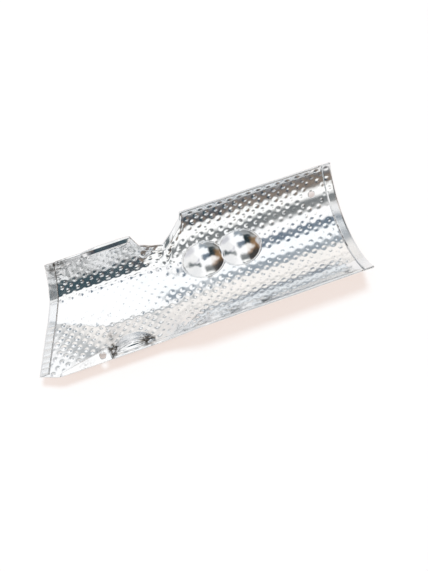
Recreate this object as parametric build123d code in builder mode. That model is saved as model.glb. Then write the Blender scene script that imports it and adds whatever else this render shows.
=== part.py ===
import math
import os
from functools import cache

from build123d import *

# Exhaust heat shield, pressed in one piece from dimpled aluminium sheet.
# It lies hollow side up: X along the trough, Y across it, Z up.
# The origin is under its middle, on the surface that it rests on.

# Sheet and its embossing
sheet_t = 0.8
bump_pitch = 10.2
bump_rise = 1.2

# Round section of the trough, on the right
trough_r = 68.0
trough_half_angle = 58.5

# Flat-floored section, on the left: near lip, knee, corner of the floor, bend of the wall, far lip
near_lip_y, near_lip_z = -56.0, 17.0
knee_y, knee_z = -19.0, 2.45
corner_y, corner_z = 21.5, 0.35
wall_y, wall_z = 35.0, 14.7
far_lip_y, far_lip_z = 47.8, 38.5
knee_r = 18.0
corner_r = 9.0
wall_r = 60.0

# Where the knee starts to wander across the floor, and where it ends at the left
knee_start_x = -95.0
knee_end_x, knee_end_y = -146.0, 3.0

# Outline seen from above
right_end = 167.1
left_end = -129.363
left_end_slope = 0.39
neck_start = -50.0
neck_end = 0.0
corner_cut = 9.0
near_corner = (-150.0, -50.5)

# Notch in the far lip where the two sections meet
notch_right = (9.0, 55.5)
notch_deep = (-16.0, 38.0)
notch_shallow = (-39.0, 42.0)
notch_left = (-46.0, 49.5)

# Edges folded back over the inside
fold_out = 0.6
fold_under = 0.15
fold_grip = 1.4
fold_gap = 0.6
end_hem = 8.5
lip_hem = 6.0
notch_hem = 6.0
near_hem = 3.0
hem_relief = 10.0
neck_parts = 8
side_parts = 4

# Two round domes pressed up into the trough
dome_x = (18.5, 57.0)
dome_angle = 11.0
dome_r = 39.3
dome_rise = 6.4

# Half-round arch at the near lip, a smaller dome standing on a larger one
arch_x = -73.5
arch_outset = 3.0
arch_rims = (24.0, 18.0)
arch_rises = (6.0, 9.5)

# Doubled pad at the near lip, flat pad on the far wall, and their bolt holes
bolt_d = 6.5
near_pad_x = (-148.0, -101.0, -96.5)
near_pad_w = (2.5, 14.5, 14.5)
near_bolt = (-104.8, 6.5)
far_bolt_x = 143.0
far_bolt_angle = 34.5
far_pad_r = 8.0
far_pad_over = 1.0
far_pad_under = 0.6

# The two sections of the trough, each drawn from the near lip to the far lip
axis_z = trough_r + sheet_t / 2 + fold_under
with BuildLine() as round_section:
    CenterArc((0, axis_z), trough_r, 270 - trough_half_angle, 2 * trough_half_angle)
round_line = round_section.wires()[0]


@cache
def flat_line_at(x):
    """Flat-floored section at x, where the knee slides along the floor towards the left end."""
    wander = min(max((knee_start_x - x) / (knee_start_x - knee_end_x), 0), 1)
    knee = Vector(knee_y, knee_z)
    slide = (knee_end_y - knee_y) / (corner_y - knee_y)
    knee += (Vector(corner_y, corner_z) - knee) * slide * wander
    with BuildLine() as flat_section:
        FilletPolyline(
            (near_lip_y, near_lip_z),
            knee,
            (corner_y, corner_z),
            (wall_y, wall_z),
            (far_lip_y, far_lip_z),
            radius=[knee_r, corner_r, wall_r],
        )
    return flat_section.wires()[0]


def middle(x, across):
    """Middle of the sheet and its upward normal, a share of the way from near lip to far lip."""
    share = min(max((x - neck_start) / (neck_end - neck_start), 0), 1)
    share = share * share * (3 - 2 * share)
    flat_line = flat_line_at(x)
    point = (flat_line @ across) * (1 - share) + (round_line @ across) * share
    run = (flat_line % across) * (1 - share) + (round_line % across) * share
    return Vector(x, point.X, point.Y), Vector(0, -run.Y, run.X).normalized()


def far_wall(x, y):
    """Station on the far wall over a point of the outline."""
    low, high = 0.5, 1.0
    while high - low > 1e-6:
        half = (low + high) / 2
        low, high = (half, high) if middle(x, half)[0].Y < y else (low, half)
    return x, low


def left_edge(y):
    """Where the slanting left end crosses y."""
    return left_end - left_end_slope * (far_lip_y - y)


# The sloping side of the floor at the left, measured inward from the near lip
slope_run = Vector(0, knee_y - near_lip_y, knee_z - near_lip_z).normalized()
slope_plane = Plane(
    (0, near_lip_y, near_lip_z),
    x_dir=(1, 0, 0),
    z_dir=Vector(1, 0, 0).cross(slope_run),
)

# Place of the near bolt, square to the pad
near_bolt_share = near_bolt[1] / flat_line_at(near_bolt[0]).length
near_bolt_at, near_bolt_up = middle(near_bolt[0], near_bolt_share)
near_bolt_plane = Plane(near_bolt_at, x_dir=(1, 0, 0), z_dir=near_bolt_up)

# Places of the domes and of the far bolt, square to the round trough
dome_reach = trough_r + dome_r - dome_rise
dome_turn = math.radians(dome_angle)
dome_y = dome_reach * math.sin(dome_turn)
dome_z = axis_z - dome_reach * math.cos(dome_turn)
dome_centres = [(x, dome_y, dome_z) for x in dome_x]
bolt_turn = math.radians(far_bolt_angle)
far_bolt_up = Vector(0, -math.sin(bolt_turn), math.cos(bolt_turn))
far_bolt_at = Vector(far_bolt_x, 0, axis_z) - far_bolt_up * trough_r
far_bolt_plane = Plane(far_bolt_at, x_dir=(1, 0, 0), z_dir=far_bolt_up)

# Half length and half width of a dome's rim, where its sphere leaves the trough
dome_half_x = math.sqrt(dome_r**2 - (dome_r - dome_rise) ** 2)
rim_drop = (dome_reach**2 + trough_r**2 - dome_r**2) / (2 * dome_reach)
dome_half_y = math.sqrt(trough_r**2 - rim_drop**2)

step = bump_pitch / 2
notch_line = [Vector(*point) for point in (notch_right, notch_deep, notch_shallow, notch_left)]


def from_notch(x, y):
    """Distance from the notch, seen from above."""
    reaches = []
    for start, end in zip(notch_line, notch_line[1:]):
        side = end - start
        share = min(max((Vector(x, y) - start).dot(side) / side.dot(side), 0), 1)
        reaches.append((Vector(x, y) - start - side * share).length)
    return min(reaches)


def near_pad_reach(x):
    """Width of the doubled pad, which tapers towards the left end."""
    share = min(max((x - near_pad_x[0]) / (near_pad_x[1] - near_pad_x[0]), 0), 1)
    return near_pad_w[0] + share * (near_pad_w[1] - near_pad_w[0])


def is_plain(x, y):
    """True where no bump is pressed: under folds and pads, and round the other pressings."""
    inward = (y - near_lip_y) / slope_run.Y
    rim_y = dome_y * trough_r / dome_reach
    half_x, half_y = dome_half_x + step, dome_half_y + step
    return (
        x > right_end - end_hem - step
        or x < left_edge(y) + end_hem + step
        or from_notch(x, y) < notch_hem + step
        or (near_pad_x[0] < x < near_pad_x[2] + step and inward < near_pad_reach(x) + step)
        or math.hypot(x - arch_x, inward + arch_outset) < arch_rims[0] + step
        or (far_bolt_at - Vector(x, y, far_bolt_at.Z)).length < far_pad_r + step
        or min(math.hypot((x - at) / half_x, (y - rim_y) / half_y) for at in dome_x) < 1
    )


# Embossed sheet: four-sided bumps on a staggered lattice, the underside following the top
columns = math.ceil((right_end - left_edge(near_lip_y) + fold_out) / step)
rows = 2 * int(round_line.length / bump_pitch)
corners = {}
for row in range(rows + 1):
    for column in range(columns + 1):
        x = right_end - column * step
        point, normal = middle(x, row / rows)
        raised = (row + column) % 2 == 0 and 1 < row < rows - 1 and not is_plain(x, point.Y)
        rise = bump_rise if raised else 0
        corners[column, row, "under"] = point + normal * (rise - sheet_t / 2)
        corners[column, row, "over"] = point + normal * (rise + sheet_t / 2)

facets = []


def add_cell(a, b, c, d):
    """Two flat triangles that meet along the line from a to c."""
    facets.append(Face(Wire.make_polygon([a, b, c])))
    facets.append(Face(Wire.make_polygon([a, c, d])))


for face in ("under", "over"):
    for row in range(rows):
        for column in range(columns):
            cell = [
                corners[column, row, face],
                corners[column + 1, row, face],
                corners[column + 1, row + 1, face],
                corners[column, row + 1, face],
            ]
            turn = (row + column + 1) % 2
            add_cell(*cell[turn:], *cell[:turn])
border = [(column, 0) for column in range(columns)]
border += [(columns, row) for row in range(rows)]
border += [(column, rows) for column in range(columns, 0, -1)]
border += [(0, row) for row in range(rows, 0, -1)]
for here, there in zip(border, border[1:] + border[:1]):
    add_cell(
        corners[*here, "under"],
        corners[*there, "under"],
        corners[*there, "over"],
        corners[*here, "over"],
    )
embossed_sheet = Solid(Shell(facets))


def fold(stations, widths, gap):
    """Edge folded back over the sheet, through stations that keep the sheet on their left."""
    places = [middle(*station) for station in stations]
    top = sheet_t * 1.5 + gap
    flap_under = top - sheet_t if gap else 0
    low = -sheet_t / 2 - fold_under
    ribs = []
    for index, (point, normal) in enumerate(places):
        before = places[max(index - 1, 0)][0]
        after = places[min(index + 1, len(places) - 1)][0]
        along = (after - before).normalized()
        with BuildSketch(Plane(point, x_dir=normal.cross(along), z_dir=along)) as rib:
            with BuildLine():
                Polyline(
                    (fold_grip, low),
                    (0, low),
                    (-fold_out, low + fold_out),
                    (-fold_out, top - fold_out),
                    (0, top),
                    (widths[index], top),
                    (widths[index], flap_under),
                    (fold_grip, flap_under),
                    close=True,
                )
            make_face()
        ribs.append(rib.sketch.face())
    with BuildPart() as folded:
        loft(ribs, ruled=True)
    return folded.part


# Stations of the folded edges, each run with the sheet on its left
lip_y = trough_r * math.sin(math.radians(trough_half_angle))
across = [row / rows for row in range(rows + 1)]
below_corner = [share for share in across if middle(right_end, share)[0].Y < lip_y - corner_cut]
right_run = [(right_end, share) for share in below_corner]
left_run = []
for share in reversed(across):
    edge_x = left_edge(middle(left_end, share)[0].Y)
    edge_y = middle(edge_x, share)[0].Y
    if edge_y > near_corner[1]:
        left_run.append((left_edge(edge_y), share))
neck_run = [neck_start + (neck_end - neck_start) * k / neck_parts for k in range(1, neck_parts + 1)]
near_run = [(x, 0) for x in (arch_x + arch_rims[0] + fold_grip, *neck_run, right_end - hem_relief)]
far_right_run = [(x, 1) for x in (right_end - hem_relief, notch_right[0] + fold_grip)]
far_left_run = [(x, 1) for x in (notch_left[0] - fold_grip, neck_start, left_end + hem_relief)]
pad_run = [(x, 0) for x in near_pad_x]
notch_run = []
for start, end in zip(notch_line, notch_line[1:]):
    for part_way in range(side_parts):
        at = start + (end - start) * (part_way / side_parts)
        notch_run.append(far_wall(at.X, at.Y))

folds = [
    fold(right_run, [end_hem] * len(right_run), fold_gap),
    fold(left_run, [end_hem] * len(left_run), fold_gap),
    fold(near_run, [near_hem] * len(near_run), fold_gap),
    fold(far_right_run, [lip_hem] * len(far_right_run), fold_gap),
    fold(far_left_run, [lip_hem] * len(far_left_run), fold_gap),
    fold(notch_run, [notch_hem] * len(notch_run), fold_gap),
    fold(pad_run, near_pad_w, 0),
]

# Spheres of the arch, set in the slope so that each shows its rim and its rise
arch_r = [(rim**2 + rise**2) / (2 * rise) for rim, rise in zip(arch_rims, arch_rises)]
arch_spheres = [
    (radius, slope_plane * Location((arch_x, -arch_outset, rise - radius)))
    for radius, rise in zip(arch_r, arch_rises)
]

# What is cut from the sheet: slanting end, far corner, notch, and the hollows under the pressings
reach = right_end - left_end
with BuildPart() as cut_away:
    with BuildSketch(Plane.XY.offset(-reach / 2)):
        with BuildLine():
            Polyline(
                (left_edge(-reach), -reach),
                (left_edge(reach), reach),
                (left_edge(-reach), reach),
                close=True,
            )
        make_face()
        with BuildLine():
            Polyline(
                (near_corner[0], near_lip_y),
                (left_edge(near_corner[1]), near_corner[1]),
                (left_end - reach, near_corner[1]),
                (left_end - reach, near_lip_y - reach),
                (near_corner[0], near_lip_y - reach),
                close=True,
            )
        make_face()
        with BuildLine():
            Polyline(
                (right_end - corner_cut, lip_y),
                (right_end, lip_y - corner_cut),
                (right_end + corner_cut, lip_y - 2 * corner_cut),
                (right_end + corner_cut, lip_y + corner_cut),
                (right_end - 2 * corner_cut, lip_y + corner_cut),
                close=True,
            )
        make_face()
        with BuildLine():
            Polyline(
                (notch_right[0], reach),
                notch_right,
                notch_deep,
                notch_shallow,
                notch_left,
                (notch_left[0], reach),
                close=True,
            )
        make_face()
    extrude(amount=reach)
    with Locations(*dome_centres):
        Sphere(dome_r - sheet_t)
    for radius, place in arch_spheres:
        with Locations(place):
            Sphere(radius - sheet_t)

# The skins of the two domes, standing on the middle of the round trough
with BuildPart() as domes:
    with Locations(*dome_centres):
        Sphere(dome_r)
    with Locations((0, 0, axis_z)):
        Cylinder(trough_r, reach, rotation=(0, 90, 0), mode=Mode.INTERSECT)
    with Locations(*dome_centres):
        Sphere(dome_r - sheet_t, mode=Mode.SUBTRACT)

# The skin of the arch, standing on the slope and open at the near lip
with BuildPart() as arch:
    for radius, place in arch_spheres:
        with Locations(place):
            Sphere(radius)
    split(bisect_by=slope_plane, keep=Keep.TOP)
    split(bisect_by=Plane(slope_plane.origin, x_dir=(1, 0, 0), z_dir=slope_run), keep=Keep.TOP)
    for radius, place in arch_spheres:
        with Locations(place):
            Sphere(radius - sheet_t, mode=Mode.SUBTRACT)

# The flat pad on the far wall
with BuildPart() as far_pad:
    with BuildSketch(far_bolt_plane.offset(-far_pad_under)):
        Circle(far_pad_r)
    extrude(amount=far_pad_under + far_pad_over)

# The finished shield
with BuildPart() as heat_shield:
    add(embossed_sheet)
    add(cut_away.part, mode=Mode.SUBTRACT, clean=False)
    add([domes.part, arch.part, far_pad.part, *folds], clean=False)
    with Locations(near_bolt_plane.location, far_bolt_plane.location):
        Hole(bolt_d / 2)

os.makedirs("parts", exist_ok=True)
heat_shield.part.label = "heat_shield"
export_step(heat_shield.part, "parts/heat_shield.step")
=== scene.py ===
import math
from functools import cache

import bpy
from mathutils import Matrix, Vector, noise


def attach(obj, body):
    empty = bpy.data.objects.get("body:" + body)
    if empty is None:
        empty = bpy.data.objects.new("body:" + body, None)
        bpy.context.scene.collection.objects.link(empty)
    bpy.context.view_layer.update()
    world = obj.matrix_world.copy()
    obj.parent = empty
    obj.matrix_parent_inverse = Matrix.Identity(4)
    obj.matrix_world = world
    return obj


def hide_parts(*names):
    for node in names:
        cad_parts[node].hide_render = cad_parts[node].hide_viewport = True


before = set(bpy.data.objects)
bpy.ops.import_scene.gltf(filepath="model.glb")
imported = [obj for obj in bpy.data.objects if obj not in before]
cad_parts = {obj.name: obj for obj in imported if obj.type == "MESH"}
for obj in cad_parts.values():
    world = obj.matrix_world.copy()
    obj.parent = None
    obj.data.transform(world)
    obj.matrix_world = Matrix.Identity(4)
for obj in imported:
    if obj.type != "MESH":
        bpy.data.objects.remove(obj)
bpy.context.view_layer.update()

# The shield is one blank of rolled aluminium sheet, embossed all over with round dimples.
# The blank is cut, its edges are folded back, and a press gives it the trough, the two domes
# and the arch, so it is modelled as one flat grid that is bent, folded and then thickened.
mm = 0.001
sheet_t = 0.8 * mm
fold_under = 0.15 * mm

# Round section of the trough on the right; bent section on the left, from near lip to far lip
trough_r = 68.0 * mm
trough_half = math.radians(58.5)
round_len = 2 * trough_half * trough_r
axis_z = trough_r + sheet_t / 2 + fold_under
near_lip, knee, corner, wall, far_lip = [
    Vector(p) * mm
    for p in ((-56.0, 17.0), (-19.0, 2.45), (21.5, 0.35), (35.0, 14.7), (47.8, 38.5))
]
bend_r = [18.0 * mm, 9.0 * mm, 60.0 * mm]
knee_start_x, knee_end_x, knee_end_y = -95.0 * mm, -146.0 * mm, 3.0 * mm
neck_start, neck_end = -50.0 * mm, 0.0


def held(value):
    """The value, held between 0 and 1."""
    return min(max(value, 0), 1)


def eased(way):
    """A share of the way, made slow at its start and its end."""
    return way * way * (3 - 2 * way)


def wander(x):
    """How far the knee has slid along the floor at x, rounded so that few sections are worked out."""
    return round(held((knee_start_x - x) / (knee_start_x - knee_end_x)), 3)


@cache
def bent_runs(slid):
    """Length, start, slope and curve of each straight and each bend, and their whole length."""
    slide = (knee_end_y - knee.x) / (corner.x - knee.x) * slid
    bends = [near_lip, knee.lerp(corner, slide), corner, wall, far_lip]
    runs = []
    start = near_lip
    for before, at, after, radius in zip(bends, bends[1:], bends[2:], bend_r):
        into, out = (at - before).normalized(), (after - at).normalized()
        slope = math.atan2(into.y, into.x)
        turn = math.atan2(out.y, out.x) - slope
        tangent = radius * math.tan(turn / 2)
        runs.append(((at - into * tangent - start).length, start, slope, 0.0))
        runs.append((radius * turn, at - into * tangent, slope, 1 / radius))
        start = at + out * tangent
    runs.append(((far_lip - start).length, start, math.atan2(out.y, out.x), 0.0))
    return runs, sum(run[0] for run in runs)


def bent_section(x, share):
    """Point and slope of the bent section, a share of the way from near lip to far lip."""
    runs, whole = bent_runs(wander(x))
    reach = share * whole
    for length, start, slope, curve in runs[:-1]:
        if reach <= length:
            break
        reach -= length
    else:
        length, start, slope, curve = runs[-1]
    if curve == 0:
        return start + Vector((math.cos(slope), math.sin(slope))) * reach, slope
    turned = slope + reach * curve
    round_off = Vector((math.sin(turned) - math.sin(slope), math.cos(slope) - math.cos(turned)))
    return start + round_off / curve, turned


def round_section(share):
    """Point and slope of the round section."""
    turned = trough_half * (2 * share - 1)
    return Vector((trough_r * math.sin(turned), axis_z - trough_r * math.cos(turned))), turned


def trough(x, share):
    """Middle of the sheet and its upward normal; the neck blends one section into the other."""
    blend = eased(held((x - neck_start) / (neck_end - neck_start)))
    if blend == 1:
        point, turn = round_section(share)
    elif blend == 0:
        point, turn = bent_section(x, share)
    else:
        bent_point, bent_turn = bent_section(x, share)
        round_point, round_turn = round_section(share)
        point = bent_point.lerp(round_point, blend)
        turn = bent_turn + (round_turn - bent_turn) * blend
    return Vector((x, point.x, point.y)), Vector((0, -math.sin(turn), math.cos(turn)))


# Both ends and both lips of the blank are folded back on themselves, so that no raw edge is left.
# The left end is cut at a slant, its near corner is trimmed, and a notch is cut in the far lip.
right_end = 166.6 * mm
left_end, left_slope = -128.7 * mm, 0.39
corner_x, corner_y, corner_tilt = -149.5 * mm, -48.6 * mm, 0.25
lip_in = 0.5 * mm
lip_share = lip_in / round_len
notch = [
    Vector(p) * mm
    for p in ((-46.5, 60.0), (-45.0, 49.0), (-39.0, 41.5), (-16.0, 37.5), (8.0, 54.5), (9.5, 60.0))
]
notch_start, notch_slant, notch_end = notch[0].x, notch[3].x, notch[-1].x
notch_halvings = 16
end_hem, lip_hem, notch_hem, near_hem = 8.5 * mm, 6.0 * mm, 6.0 * mm, 3.0 * mm
hem_fold_r, pad_fold_r = 0.7 * mm, 0.42 * mm
hem_relief = 10.0 * mm
pad_x0, pad_x1, pad_x2 = -148.0 * mm, -101.0 * mm, -96.5 * mm
pad_w0, pad_w1, pad_gap = 2.5 * mm, 14.5 * mm, 1.5 * mm


def left_edge(y):
    """Where the slanting left end crosses y."""
    return left_end - left_slope * (far_lip.x - y)


def crossing(low, high, before, halvings):
    """The place between low and high up to which the test holds, found by halving."""
    for _ in range(halvings):
        half = (low + high) / 2
        low, high = (half, high) if before(half) else (low, half)
    return low


def far_edge(x):
    """Share of the way across at which the far edge lies, notch included."""
    lip = 1 - lip_share
    if not notch_start < x < notch_end:
        return lip
    for a, b in zip(notch, notch[1:]):
        if a.x <= x <= b.x:
            y = a.y + (b.y - a.y) * (x - a.x) / (b.x - a.x)
    return crossing(0.5, lip, lambda share: trough(x, share)[0].y < y, notch_halvings)


def near_edge(x):
    """Share of the way across at which the near edge lies, trimmed at the left corner."""
    trim = held((corner_x - x) / (corner_x - left_edge(corner_y)))
    return max(lip_in, trim * (corner_y - near_lip.x) / math.cos(corner_tilt)) / round_len


def near_hem_width(x):
    """Width of the fold along the near lip: the doubled pad, then a hem to the right end."""
    if pad_x0 < x < pad_x2:
        return pad_w0 + (pad_w1 - pad_w0) * min((x - pad_x0) / (pad_x1 - pad_x0), 1)
    return near_hem if pad_x2 + pad_gap < x < right_end - hem_relief else 0.0


def far_hem_width(x):
    """Width of the fold along the far lip, which stops short of both ends."""
    if notch_start < x < notch_end:
        return notch_hem
    return lip_hem if left_end + hem_relief < x < right_end - hem_relief else 0.0


# The press raises two domes in the round part and a stepped arch at the near lip, all out of the sheet.
# They are parts of spheres, and the front of the arch is closed down to a flat strip along the lip.
dome_r, dome_rise, dome_turn = 39.3 * mm, 6.4 * mm, math.radians(11.0)
dome_reach = trough_r + dome_r - dome_rise
dome_centres = [
    Vector((x * mm, dome_reach * math.sin(dome_turn), axis_z - dome_reach * math.cos(dome_turn)))
    for x in (18.5, 57.0)
]
slope_run = (knee - near_lip).normalized()
slope_up = Vector((0, -slope_run.y, slope_run.x))
arch_x, arch_outset = -73.5 * mm, 3.0 * mm
arch_strip, arch_front = 4.5 * mm, 3.5 * mm
arch_rim, arch_rise = 24.0 * mm, 6.0 * mm
arch_step_rim, arch_step_rise = 18.0 * mm, 9.5 * mm
arch_middle = near_lip - slope_run * arch_outset
pressed = [(centre, dome_r) for centre in dome_centres]
for rim, rise in ((arch_rim, arch_rise), (arch_step_rim, arch_step_rise)):
    radius = (rim * rim + rise * rise) / (2 * rise)
    centre = Vector((arch_x, arch_middle.x, arch_middle.y)) + slope_up * (rise - radius)
    pressed.append((centre, radius))


def up_slope(point):
    """How far a point lies from the near lip, along the near slope."""
    return (point.y - near_lip.x) / slope_run.x


def pressed_height(point, up):
    """How far a dome or the arch stands above the sheet, below zero outside their rims."""
    best = -1.0
    front = eased(held((up_slope(point) - arch_strip) / arch_front))
    for centre, radius in pressed:
        to = point - centre
        level = to.dot(up)
        inside = level * level - to.length_squared + radius * radius
        if inside > 0:
            best = max(best, front * (math.sqrt(inside) - level))
    return best


def rim_gap(x, share):
    """How far outside the nearest dome the sheet lies."""
    point = trough(x, share)[0]
    return min((point - centre).length - dome_r for centre in dome_centres)


# Two plain places take bolts: the doubled pad at the near lip and a flat round high on the far wall.
# Their holes are punched last, so here only their places are set out, for the dimples to keep clear.
bolt_r, bolt_clear = 3.25 * mm, 8.0 * mm
far_bolt_x, far_bolt_turn = 143.0 * mm, math.radians(34.5)
far_bolt_up = Vector((0, -math.sin(far_bolt_turn), math.cos(far_bolt_turn)))
far_bolt = Vector((far_bolt_x, 0, axis_z)) - far_bolt_up * trough_r
near_bolt_x, near_bolt_in = -104.8 * mm, 6.5 * mm
near_bolt, near_bolt_up = trough(near_bolt_x, near_bolt_in / bent_runs(wander(near_bolt_x))[1])

# The dimples are rolled into the sheet in staggered rows before it is bent, and they keep clear of folds
# and rims. Each draws its size and place by lot from seeded noise, so no two are quite alike, and they
# are flatter on the floor and on two of the walls.
step, bump_rows, lattice_end = 5.1 * mm, 26, 167.1 * mm
bump_rise, bump_r = 0.5 * mm, 2.5 * mm
bump_stray, bump_width_spread, bump_rise_spread = 0.8 * mm, 0.2, 0.5
lot_a, lot_b, lot_level, lot_seed = 0.71, 0.83, 3.7, 5
plain_margin, plain_fade = 1.0 * mm, 1.5 * mm
floor_middle, floor_half = 0.52, 0.25
floor_rise_left, floor_rise_gain = 0.30, 0.35
wall_flatter = 0.5
near_wall_top, near_wall_fade, near_wall_run = 0.32, 0.12, 40 * mm
far_wall_foot, far_wall_fade, far_wall_run = 0.80, 0.06, 15 * mm
noise.seed_set(lot_seed)


def plain(x, share, point):
    """0 where the sheet is embossed, 1 where it stays plain."""
    gaps = [
        right_end - end_hem - x,
        x - left_edge(point.y) - end_hem,
        (far_edge(x) - share) * round_len - far_hem_width(x),
        share * round_len - near_hem_width(x),
        math.hypot(x - arch_x, up_slope(point) + arch_outset) - arch_rim,
        (point - far_bolt).length - bolt_clear,
    ]
    return 1 - held((min(gaps) - plain_margin) / plain_fade)


def flattened(x, share):
    """Share of their height that the dimples keep at a point of the sheet."""
    on_floor = floor_rise_left + floor_rise_gain * held((x - neck_start) / (neck_end - neck_start))
    kept = on_floor + (1 - on_floor) * min(abs(share - floor_middle) / floor_half, 1)
    near_wall = held((near_wall_top - share) / near_wall_fade) * held(x / near_wall_run)
    far_wall = held((share - far_wall_foot) / far_wall_fade) * held((neck_start - x) / far_wall_run)
    return kept * (1 - wall_flatter * max(near_wall, far_wall))


def bump(x, share):
    """Height of the embossing: the nearest dimple of the staggered lattice."""
    column = (lattice_end - x) / step
    row = share * bump_rows
    a = round((column + row) / 2)
    b = round((column - row) / 2)
    lot = noise.noise_vector(Vector((a * lot_a, b * lot_b, lot_level)))
    run = Vector(((column - a - b) * step, (row - a + b) * round_len / bump_rows))
    near = min((run - lot.xy * bump_stray).length / (bump_r * (1 + bump_width_spread * lot.z)), 1)
    rise = bump_rise * flattened(x, share) * (1 + bump_rise_spread * lot.z)
    return rise * math.cos(near * math.pi / 2) ** 2


# The sheet is thin and has been handled: its walls are wavy, its far left corner is crumpled,
# the metal under the notch is wrinkled, and the far lip beside the notch is bent down.
wave_rise, wave_grain, wave_seed = 0.35 * mm, (28, 4.5), 1.3
crumple_rise, crumple_reach, crumple_grain, crumple_seed = 1.1 * mm, 24 * mm, (170, 22), 5.1
wrinkle_x, wrinkle_half, wrinkle_depth = -22 * mm, 34 * mm, 26 * mm
wrinkle_rise, wrinkle_grain, wrinkle_seed = 1.8 * mm, (130, 40), 8.4
bent_lip_x, bent_lip_half, bent_lip_depth, bent_lip_drop = -68 * mm, 26 * mm, 7 * mm, 1.8 * mm


def uneven(along, across, grain, seed):
    """A smooth random height between -1 and 1."""
    return noise.noise(Vector((along * grain[0], across * grain[1], seed)))


def wear(x, share, point):
    """How far handling has moved the sheet up or down."""
    below = (far_edge(x) - share) * round_len
    lift = wave_rise * uneven(x, share, wave_grain, wave_seed)
    crumple = max(1 - (point.xy - Vector((left_end, far_lip.x))).length / crumple_reach, 0)
    lift += crumple_rise * crumple * uneven(x, share, crumple_grain, crumple_seed)
    wrinkle = max(1 - abs(x - wrinkle_x) / wrinkle_half, 0) * max(1 - below / wrinkle_depth, 0)
    lift += wrinkle_rise * wrinkle * uneven(x + below, x - below, wrinkle_grain, wrinkle_seed)
    bent_lip = max(1 - abs(x - bent_lip_x) / bent_lip_half, 0)
    return lift - bent_lip_drop * min(bent_lip * 2, 1) * max(1 - below / bent_lip_depth, 0)


# The flat blank is a grid divided in step with the dimples, with strips on all sides for the folds.
# Its columns fan out towards the slanting left end, and its rows close up at the notch and the corner.
cell = step / 4
even_columns, slant_columns, body_rows = 200, 64, bump_rows * 4
body_columns = even_columns + slant_columns
fold_cells, flap_cells = 4, 6
edge_cells = fold_cells + flap_cells
columns, rows = body_columns + 2 * edge_cells, body_rows + 2 * edge_cells
near_stretch, far_stretch, slant_passes = 0.2, 0.6, 3
rim_pull, rim_tip, rim_cells = 1.2 * mm, 0.2 * mm, 0.6
bpy.ops.object.select_all(action="DESELECT")
bpy.ops.mesh.primitive_grid_add(x_subdivisions=columns, y_subdivisions=rows, size=1)
shield = bpy.context.object
shield.name = "pressed_shield"


def blank_place(column, row):
    """Place along the shield and share of the way across for one crossing of the grid."""
    share = min(max(row / body_rows, lip_share), 1 - lip_share)
    x = min(lattice_end - cell * min(column, even_columns), right_end)
    if column > even_columns:
        even_end, even_share = x, share
        for _ in range(slant_passes):
            end = left_edge(trough(x, share)[0].y)
            x = even_end + (end - even_end) * (column - even_columns) / slant_columns
            if even_share < near_stretch:
                edge = near_edge(x)
                stretch = (near_stretch - edge) / (near_stretch - lip_share)
                share = edge + (even_share - lip_share) * stretch
    if share > far_stretch:
        stretch = (far_edge(x) - far_stretch) / (1 - far_stretch - lip_share)
        share = far_stretch + (share - far_stretch) * stretch
    return x, share


def onto_rim(x, share):
    """A crossing close to a dome's rim is moved onto it, so that the rim comes out as a clean line."""
    gap = rim_gap(x, share)
    if abs(gap) < rim_pull:
        grade_x = (rim_gap(x + rim_tip, share) - gap) / rim_tip
        grade_s = (rim_gap(x, share + rim_tip / round_len) - gap) / rim_tip
        grade = grade_x * grade_x + grade_s * grade_s
        if abs(gap) < rim_cells * cell * math.sqrt(grade):
            return x - gap * grade_x / grade, share - gap * grade_s / grade / round_len
    return x, share


# The hems are beaten down by hand, so they don't lie evenly: the right one gapes in the middle,
# the left one has a row of crimps, and the folds at the notch and at the pad spring up a little.
left_press, right_press, right_gape = 0.5 * mm, 0.3 * mm, 0.8 * mm
gape_middle, gape_half = 0.45, 0.25
crimp_every, crimp_part, crimp_depth, crimp_reach = 6, 0.45, 0.5 * mm, 2 * mm
notch_spring, pad_spring = 0.28, 0.09
right_plain_top, right_plain_fade = 0.7, 0.1


def past_edge(index, body, width, radius):
    """How far one line of the grid lies past its first or last edge."""
    over = max(edge_cells - index, index - edge_cells - body, 0)
    around = math.pi * radius * min(over / fold_cells, 1)
    flat = width * max(over - fold_cells, 0) / flap_cells
    return (around + flat) if width > 0 else 0.0


def fold_path(beyond, radius):
    """Inward distance and height of the sheet that runs on past a fold."""
    around = math.pi * radius
    if beyond < around:
        return -radius * math.sin(beyond / radius), radius * (1 - math.cos(beyond / radius))
    return beyond - around, 2 * radius


def end_fold(beyond, share, row, at_right):
    """Inward distance and height of the hem at one of the ends."""
    inward, lift = fold_path(beyond, hem_fold_r)
    flat = max(inward, 0)
    if at_right:
        gape = right_gape * max(1 - abs(share - gape_middle) / gape_half, 0)
        return inward, lift - (right_press - gape) * flat / end_hem
    lift -= left_press * flat / end_hem
    if row < crimp_part * body_rows and row % crimp_every == crimp_every // 2:
        lift -= crimp_depth * min(flat / crimp_reach, 1)
    return inward, lift


def lip_fold(beyond, x, at_near, radius):
    """Inward distance and height of the hem along one of the lips."""
    inward, lift = fold_path(beyond, radius)
    flat = max(inward, 0)
    if at_near and x < pad_x2:
        lift += pad_spring * flat
    if not at_near and notch_slant < x < notch_end:
        lift += notch_spring * flat
    return inward, lift


# Dark marks are painted into the metal's colour, each with a place, a size and a strength: painted shade
# at both ends of the arch and on the slope above its left end, and darker patches on the crumpled corner
# and at the pad. A painted shadow line follows the tip of the right hem where it gapes.
shade_and_dark_spots = [
    (trough(x * mm, share)[0], size * mm, strength)
    for x, share, size, strength in (
        (-93, 0.085, 9, 1.0),
        (-94, 0.035, 4, 1.2),
        (-59, 0.065, 11, 1.0),
        (-92, 0.19, 15, 0.35),
        (-120, 0.97, 20, 0.6),
        (-122, 0.03, 14, 0.25),
        (-107, 0.10, 7, 0.25),
    )
]
gap_shadow, gap_shadow_middle, gap_shadow_half = 0.8, 0.46, 0.14

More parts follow.
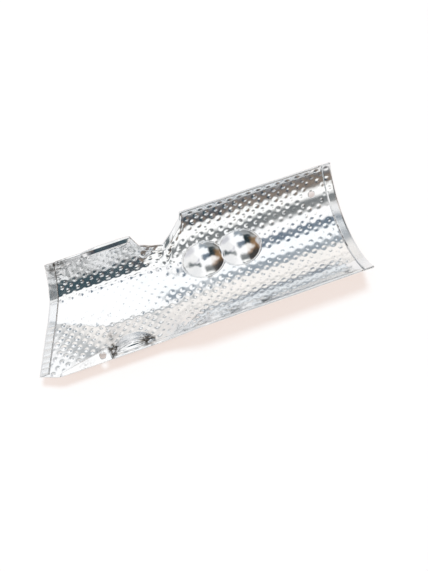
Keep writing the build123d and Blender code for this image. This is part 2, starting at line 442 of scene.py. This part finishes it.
# Each crossing of the grid goes to its place, folded, pressed or embossed, and never below the floor
lowest_middle = sheet_t / 2 + 0.02 * mm
least_rise = 1e-6
around_hem = math.pi * hem_fold_r
corner_points = []
painted_shade_and_marks = []
folded = []
for vertex in shield.data.vertices:
    i = round((vertex.co.x + 0.5) * columns)
    j = round((vertex.co.y + 0.5) * rows)
    column = min(max(columns - edge_cells - i, 0), body_columns)
    row = min(max(j - edge_cells, 0), body_rows)
    x, share = blank_place(column, row)
    at_right = column == 0
    at_near = j < edge_cells
    width = near_hem_width(x) if j <= edge_cells + body_rows else far_hem_width(x)
    radius = pad_fold_r if at_near and x < pad_x2 else hem_fold_r
    end_over = past_edge(i, body_columns, end_hem, hem_fold_r)
    lip_over = past_edge(j, body_rows, width, radius)
    lift = 0.0
    if end_over and lip_over:
        corner_points.append(vertex.index)
    if end_over:
        inward, lift = end_fold(end_over, share, row, at_right)
        x += -inward if at_right else inward
    elif lip_over:
        inward, lift = lip_fold(lip_over, x, at_near, radius)
        share += (inward if at_near else -inward) / round_len
    else:
        x, share = onto_rim(x, share)
    point, up = trough(x, share)
    on_fold = end_over or lip_over
    plainness = 1.0 if on_fold else plain(x, share, point)
    if lip_over > around_hem and (x > notch_end or at_near and x > pad_x2):
        plainness = 0.0
    if end_over > around_hem and at_right and share > right_plain_top:
        plainness = max(1 - (share - right_plain_top) / right_plain_fade, 0)
    rise = 0.0 if on_fold else pressed_height(point, up)
    lift += rise if rise > least_rise else bump(x, share) * (1 - plainness)
    lift += wear(x, share, point)
    vertex.co = point + up * max(lift, (lowest_middle - point.z) / up.z)
    dark = [strength * (1 - (point - spot).length / size) for spot, size, strength in shade_and_dark_spots]
    # The tip of the right hem's fold gets a painted shadow line where the hem gapes
    if i == columns and abs(share - gap_shadow_middle) < gap_shadow_half:
        dark.append(gap_shadow)
    painted_shade_and_marks.append(max(0, *dark))
    folded.append(1.0 if end_over and plainness == 1 else 0.0)
for name, values in (("painted_shade_and_marks", painted_shade_and_marks), ("folded", folded)):
    attribute = shield.data.attributes.new(name, "FLOAT", "POINT")
    attribute.data.foreach_set("value", values)

# The corners of the blank, where two folds would meet, are cut away; then the sheet gets its thickness
merge_gap = 0.02 * mm
bpy.ops.object.mode_set(mode="EDIT")
bpy.ops.mesh.select_all(action="DESELECT")
bpy.ops.object.mode_set(mode="OBJECT")
for index in corner_points:
    shield.data.vertices[index].select = True
bpy.ops.object.mode_set(mode="EDIT")
bpy.ops.mesh.delete(type="VERT")
bpy.ops.mesh.select_all(action="SELECT")
bpy.ops.mesh.remove_doubles(threshold=merge_gap)
bpy.ops.mesh.normals_make_consistent(inside=False)
bpy.ops.object.mode_set(mode="OBJECT")
thickness = shield.modifiers.new("thickness", "SOLIDIFY")
thickness.thickness = sheet_t
thickness.offset = 0.0
bpy.ops.object.modifier_apply(modifier="thickness")
bpy.ops.object.shade_smooth()

# The painted shade and the dark patches lie on the upper face only
points, marks = shield.data.vertices, shield.data.attributes["painted_shade_and_marks"].data
face_points = len(points) // 2
for index in range(face_points):
    below = index if points[index].co.z < points[index + face_points].co.z else index + face_points
    marks[below].value = 0.0

# The press leaves a fine bead round each dome, where the edge of its tool has nipped the sheet.
# Each bead is a ring that is laid along the dome's rim and joined to the sheet.
bead_steps, bead_sides, bead_tube = 120, 8, 0.1
bead_half_width, bead_half_height, bead_lift = 0.9 * mm, 0.5 * mm, 0.45 * mm
bead_limit, bead_halvings = 40 * mm, 20


def beside_dome(centre, around, reach):
    """Point and upward normal of the round part, some way from the middle of a dome."""
    turned = dome_turn + reach * math.sin(around) / trough_r
    up = Vector((0, -math.sin(turned), math.cos(turned)))
    return Vector((centre.x + reach * math.cos(around), 0, axis_z)) - up * trough_r, up


def inside_dome(centre, around, reach):
    """Whether that point still lies inside the dome."""
    return (beside_dome(centre, around, reach)[0] - centre).length < dome_r


for centre in dome_centres:
    bpy.ops.object.select_all(action="DESELECT")
    bpy.ops.mesh.primitive_torus_add(
        major_segments=bead_steps,
        minor_segments=bead_sides,
        major_radius=1,
        minor_radius=bead_tube,
        generate_uvs=False,
    )
    bead = bpy.context.object
    for vertex in bead.data.vertices:
        around = math.atan2(vertex.co.y, vertex.co.x)
        across = (math.hypot(vertex.co.x, vertex.co.y) - 1) / bead_tube
        above = vertex.co.z / bead_tube
        reach = crossing(0.0, bead_limit, lambda r: inside_dome(centre, around, r), bead_halvings)
        at, up = beside_dome(centre, around, reach)
        out = (at - centre) - up * (at - centre).dot(up)
        across_bead = out.normalized() * across * bead_half_width
        vertex.co = at + across_bead + up * (above * bead_half_height + bead_lift)
    bpy.ops.object.shade_smooth()
    bpy.context.view_layer.objects.active = shield
    shield.select_set(True)
    bpy.ops.object.join()

# Two round bolt holes are punched square through the sheet, in the doubled pad and in the far wall.
# A plain drill of the bolt's clearance size cuts each of them.
drill_sides, drill_depth = 32, 8 * mm
for at, up in ((near_bolt, near_bolt_up), (far_bolt, far_bolt_up)):
    bpy.ops.mesh.primitive_cylinder_add(
        vertices=drill_sides, radius=bolt_r, depth=drill_depth, location=at
    )
    drill = bpy.context.object
    drill.rotation_euler = up.to_track_quat("Z", "Y").to_euler()
    bpy.ops.object.select_all(action="DESELECT")
    bpy.context.view_layer.objects.active = shield
    shield.select_set(True)
    hole = shield.modifiers.new("hole", "BOOLEAN")
    hole.operation = "DIFFERENCE"
    hole.object = drill
    bpy.ops.object.modifier_apply(modifier="hole")
    bpy.data.objects.remove(drill)

# The finish is bright rolled aluminium with a thin cloudy haze, rubbed duller on the hems at the ends.
# The marks set out above darken its colour in broken patches: painted shade at the arch and a painted
# shadow line along the right hem, with darker patches at the corner and the pad.
bright_tone, cloudy_tone = (0.90, 0.90, 0.90), (0.83, 0.84, 0.85)
shade_and_mark_colour = (0.10, 0.09, 0.08, 1)
polish, haze, hem_rub = 0.07, 0.16, 0.16


def add_node(tree, kind, sockets, **settings):
    """A new shader node with its settings, and with a value or a link in each socket that is named."""
    node = tree.nodes.new("ShaderNode" + kind)
    for name, setting in settings.items():
        setattr(node, name, setting)
    for name, value in sockets.items():
        if isinstance(value, bpy.types.NodeSocket):
            tree.links.new(value, node.inputs[name])
        else:
            node.inputs[name].default_value = value
    return node


def add_ramp(tree, along, stops):
    """A colour ramp from places between 0 and 1 and their colours."""
    node = add_node(tree, "ValToRGB", {"Fac": along})
    elements = node.color_ramp.elements
    while len(elements) < len(stops):
        elements.new(0.5)
    for element, (place, colour) in zip(elements, stops):
        element.position = place
        element.color = (*colour, 1)
    return node.outputs["Color"]


aluminium = bpy.data.materials.new("bright_aluminium")
aluminium.use_nodes = True
metal_tree = aluminium.node_tree
shader = metal_tree.nodes["Principled BSDF"]
shader.inputs["Metallic"].default_value = 1.0
place = add_node(metal_tree, "TexCoord", {}).outputs["Object"]
cloud = add_node(metal_tree, "TexNoise", {"Vector": place, "Scale": 60, "Detail": 3}).outputs["Fac"]
patch = add_node(metal_tree, "TexNoise", {"Vector": place, "Scale": 350, "Detail": 2}).outputs["Fac"]
tone = add_ramp(metal_tree, cloud, ((0.35, cloudy_tone), (0.65, bright_tone)))
shade_marks_node = add_node(metal_tree, "Attribute", {}, attribute_name="painted_shade_and_marks")
broken = add_node(
    metal_tree,
    "MapRange",
    {"Value": patch, "From Min": 0.35, "From Max": 0.65, "To Min": 0.25, "To Max": 1.4},
)
marked = add_node(
    metal_tree, "Math", {0: shade_marks_node.outputs["Fac"], 1: broken.outputs["Result"]}, operation="MULTIPLY"
)
darkening = add_node(
    metal_tree,
    "MapRange",
    {"Value": marked.outputs["Value"], "From Max": 0.8},
    interpolation_type="SMOOTHSTEP",
)
shaded_tone = add_node(
    metal_tree,
    "Mix",
    {"Factor": darkening.outputs["Result"], "A": tone, "B": shade_and_mark_colour},
    data_type="RGBA",
)
metal_tree.links.new(shaded_tone.outputs["Result"], shader.inputs["Base Color"])
hazy = add_node(
    metal_tree,
    "MapRange",
    {"Value": cloud, "From Min": 0.3, "From Max": 0.7, "To Min": polish, "To Max": haze},
)
hems = add_node(metal_tree, "Attribute", {}, attribute_name="folded")
dulled = add_node(
    metal_tree,
    "Math",
    {0: hems.outputs["Fac"], 1: hem_rub, 2: hazy.outputs["Result"]},
    operation="MULTIPLY_ADD",
)
metal_tree.links.new(dulled.outputs["Value"], shader.inputs["Roughness"])
shield.data.materials.append(aluminium)
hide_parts("heat_shield")
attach(shield, "root")

# The floor is a sheet of white studio paper, laid flat, that takes the shield's soft shadow.
# Seen directly, by reflection or through glass it is lifted to white, so that only the shadow shows.
floor_size, shadow_reach = 6, 0.03
paper_white, paper_seen = (0.8, 0.8, 0.8, 1), (0.16, 0.24, 0.28, 1)
deep_shadow, open_shadow = (0.16, 0.13, 0.12), (0.78, 0.63, 0.56)
bpy.ops.mesh.primitive_plane_add(size=floor_size)
floor = bpy.context.object
floor.name = "studio_floor"
paper = bpy.data.materials.new("white_paper")
paper.use_nodes = True
paper_tree = paper.node_tree
shader = paper_tree.nodes["Principled BSDF"]
shader.inputs["Roughness"].default_value = 1.0
shader.inputs["Specular IOR Level"].default_value = 0.0
under = add_node(paper_tree, "AmbientOcclusion", {"Distance": shadow_reach})
gloom = add_ramp(paper_tree, under.outputs["AO"], ((0.1, deep_shadow), (0.5, open_shadow)))
paper_tree.links.new(gloom, shader.inputs["Emission Color"])
seen = add_node(paper_tree, "LightPath", {})
lifted = seen.outputs["Is Camera Ray"]
for ray in ("Is Glossy Ray", "Is Transmission Ray"):
    either = add_node(paper_tree, "Math", {0: lifted, 1: seen.outputs[ray]}, operation="MAXIMUM")
    lifted = either.outputs["Value"]
paper_tree.links.new(lifted, shader.inputs["Emission Strength"])
tint = add_node(
    paper_tree, "Mix", {"Factor": lifted, "A": paper_white, "B": paper_seen}, data_type="RGBA"
)
paper_tree.links.new(tint.outputs["Result"], shader.inputs["Base Color"])
floor.data.materials.append(paper)

# The light is a white cloth tent over the shield, with long strips and gaps that run along the trough.
# The bright metal mirrors them as bands, and the cloth hangs in soft waves that bend the bands a little.
wave_scale, wave_depth = 4, 0.35
white, warm_white, cool_white = (1.2, 1.2, 1.2), (1.1, 1.06, 1.02), (1.17, 1.2, 1.22)
cream_white, plain_white = (1.2, 1.2, 1.18), (1.0, 1.0, 1.0)
blue_grey, dark_blue = (0.34, 0.39, 0.44), (0.17, 0.22, 0.28)
peach, slate, brown = (0.95, 0.91, 0.88), (0.10, 0.13, 0.14), (0.16, 0.125, 0.11)
seam_half = 1.5

# Each part of the tent goes round the trough, from below by the far side, the top and the near side:
# the edges of its strips, in degrees from straight up, and their colours.
right_tent = [(-180, (0.75, 0.74, 0.73)), (-100, (0.95, 0.92, 0.90))]
for seam, grey in ((-89.5, 0.35), (-82, 0.35), (-74.5, 0.38), (-67, 0.45)):
    right_tent += [
        (seam - seam_half, warm_white),
        (seam, (grey, grey, grey - 0.01)),
        (seam + seam_half, warm_white),
    ]
right_tent += [
    (-41, warm_white),
    (-37, blue_grey),
    (-29, blue_grey),
    (-25, cool_white),
    (-10, cool_white),
    (-7, dark_blue),
    (6, dark_blue),
    (9, white),
    (25, white),
    (29, (0.30, 0.31, 0.31)),
    (42, (0.14, 0.16, 0.17)),
    (50, cream_white),
    (65, cream_white),
    (68, (0.05, 0.06, 0.075)),
    (82, (0.08, 0.09, 0.11)),
    (90, (0.5, 0.5, 0.5)),
    (180, (0.6, 0.6, 0.6)),
]
left_tent = [
    (-180, (0.85, 0.84, 0.83)),
    (-100, (0.95, 0.90, 0.86)),
    (-82, (1.0, 0.94, 0.90)),
    (-77, (0.82, 0.80, 0.79)),
    (-66, peach),
    (-58, peach),
    (-54, (0.45, 0.48, 0.50)),
    (-45, (0.48, 0.51, 0.53)),
    (-41, white),
    (62, white),
    (67, (0.05, 0.09, 0.11)),
    (82, (0.06, 0.10, 0.12)),
    (92, (1.0, 0.97, 0.92)),
    (180, (0.9, 0.9, 0.9)),
]
far_left_tent = [
    (-180, (0.8, 0.8, 0.8)),
    (-50, (0.9, 0.9, 0.9)),
    (-40, (0.72, 0.72, 0.76)),
    (-30, (0.72, 0.72, 0.76)),
    (-22, plain_white),
    (63, plain_white),
    (70, slate),
    (82, slate),
    (92, (0.8, 0.78, 0.75)),
    (180, (0.8, 0.8, 0.8)),
]
right_opening = [
    (-180, (0.6, 0.6, 0.6)),
    (-75, (0.95, 0.93, 0.92)),
    (-52, (0.9, 0.9, 0.9)),
    (-42, (0.28, 0.30, 0.31)),
    (-33, (0.45, 0.47, 0.48)),
    (-26, (0.05, 0.07, 0.08)),
    (-15, (0.02, 0.035, 0.04)),
    (2, (0.03, 0.045, 0.05)),
    (9, warm_white),
    (20, (1.05, 1.0, 0.95)),
    (27, (0.42, 0.30, 0.22)),
    (34, (0.07, 0.065, 0.06)),
    (50, (0.05, 0.05, 0.05)),
    (60, (0.20, 0.16, 0.14)),
    (75, brown),
    (88, (0.5, 0.48, 0.46)),
    (180, (0.6, 0.6, 0.6)),
]
far_right_opening = [
    (-180, (0.5, 0.5, 0.5)),
    (-60, (0.6, 0.6, 0.6)),
    (-40, (0.12, 0.11, 0.10)),
    (-25, (0.5, 0.5, 0.48)),
    (-12, (0.30, 0.19, 0.10)),
    (15, (0.34, 0.20, 0.10)),
    (30, (0.12, 0.08, 0.05)),
    (45, (0.05, 0.05, 0.05)),
    (70, brown),
    (90, (0.5, 0.48, 0.46)),
    (180, (0.6, 0.6, 0.6)),
]
world = bpy.data.worlds.new("light_tent")
bpy.context.scene.world = world
world.use_nodes = True
sky = world.node_tree
facing = add_node(sky, "TexCoord", {}).outputs["Generated"]
ripple = add_node(sky, "TexNoise", {"Vector": facing, "Scale": wave_scale, "Detail": 1})
centred = add_node(
    sky, "VectorMath", {0: ripple.outputs["Color"], 1: (0.5, 0.5, 0.5)}, operation="SUBTRACT"
)
waved = add_node(
    sky,
    "VectorMath",
    {0: centred.outputs["Vector"], 1: (wave_depth, wave_depth, wave_depth), 2: facing},
    operation="MULTIPLY_ADD",
).outputs["Vector"]
parts = add_node(sky, "SeparateXYZ", {0: waved})
near = add_node(sky, "Math", {0: parts.outputs["Y"], 1: -1}, operation="MULTIPLY")
around = add_node(
    sky, "Math", {0: near.outputs["Value"], 1: parts.outputs["Z"]}, operation="ARCTAN2"
)
turn = add_node(
    sky,
    "MapRange",
    {"Value": around.outputs["Value"], "From Min": -math.pi, "From Max": math.pi},
)


def tent_colour(stops):
    """The colour of one part of the tent, all round the trough."""
    return add_ramp(
        sky, turn.outputs["Result"], [((angle + 180) / 360, colour) for angle, colour in stops]
    )


def laid_over(under_it, on_top, measure, start, end):
    """One colour laid over another, softly, where a measure goes from start to end."""
    edge = add_node(
        sky,
        "MapRange",
        {"Value": measure, "From Min": start, "From Max": end},
        interpolation_type="SMOOTHSTEP",
    )
    blend = add_node(
        sky,
        "Mix",
        {"Factor": edge.outputs["Result"], "A": under_it, "B": on_top},
        data_type="RGBA",
    )
    return blend.outputs["Result"]


light = tent_colour(right_tent)
for stops, start, end in (
    (left_tent, 0.07, -0.05),
    (far_left_tent, -0.15, -0.35),
    (right_opening, 0.32, 0.46),
    (far_right_opening, 0.60, 0.80),
):
    light = laid_over(light, tent_colour(stops), parts.outputs["X"], start, end)

# Cards hang in the tent: each is a row of soft round spots from one direction to another,
# with the radius at which it is full, the radius at which it ends, and its colour.
for start, end, spots, full, edge, colour in (
    ((0.06, 0.44, 0.89), (0.03, 0.68, 0.73), 5, 0.01, 0.06, (0.26, 0.32, 0.38, 1)),
    ((-0.36, -0.13, 0.92), (-0.20, -0.08, 0.98), 2, 0.02, 0.13, (0.60, 0.60, 0.66, 1)),
    ((-0.66, -0.10, 0.75), (-0.24, -0.30, 0.92), 5, 0.03, 0.16, (0.08, 0.11, 0.12, 1)),
    ((0.33, -0.90, 0.28), (0.33, -0.90, 0.28), 1, 0.08, 0.28, (0.27, 0.22, 0.18, 1)),
    ((1, 0, 0), (1, 0, 0), 1, 0.42, 0.56, (0.80, 0.80, 0.82, 1)),
):
    for index in range(spots):
        middle = Vector(start).lerp(Vector(end), index / max(spots - 1, 1))
        off = add_node(sky, "VectorMath", {0: waved, 1: middle}, operation="DISTANCE")
        light = laid_over(light, colour, off.outputs["Value"], edge, full)

# Past the edge of the floor the camera sees plain white
seen = add_node(sky, "LightPath", {})
backdrop = add_node(
    sky,
    "Mix",
    {"Factor": seen.outputs["Is Camera Ray"], "A": light, "B": (1, 1, 1, 1)},
    data_type="RGBA",
)
sky.links.new(backdrop.outputs["Result"], sky.nodes["Background"].inputs["Color"])
sky.nodes["Background"].inputs["Strength"].default_value = 1.0

# A soft lamp stands high beyond the far lip and throws the shadow towards the camera.
# The metal doesn't mirror it: what the metal shows is the tent.
lamp_width, lamp_energy = math.radians(16), 3.0
bpy.ops.object.light_add(type="SUN", location=(0.16, 0.46, 1.2))
lamp = bpy.context.object
lamp.name = "far_softbox"
lamp.data.angle = lamp_width
lamp.data.energy = lamp_energy
lamp.visible_glossy = False
lamp.rotation_euler = (-lamp.location).to_track_quat("-Z", "Y").to_euler()

# The camera looks steeply down from the near side, turned a little to the right.
# Its lens takes in the whole shield, with floor all round it.
view_down, view_turn = math.radians(75), math.radians(19.5)
level = math.cos(view_down)
ahead = Vector((math.sin(view_turn) * level, math.cos(view_turn) * level, -math.sin(view_down)))
camera_data = bpy.data.cameras.new("view")
camera = bpy.data.objects.new("view", camera_data)
bpy.context.collection.objects.link(camera)
camera.location = (-49.4 * mm, -209.8 * mm, 769.7 * mm)
camera.rotation_euler = ahead.to_track_quat("-Z", "Y").to_euler()
camera_data.lens = 50.44
bpy.context.scene.camera = camera
bpy.context.scene.view_settings.view_transform = "Standard"
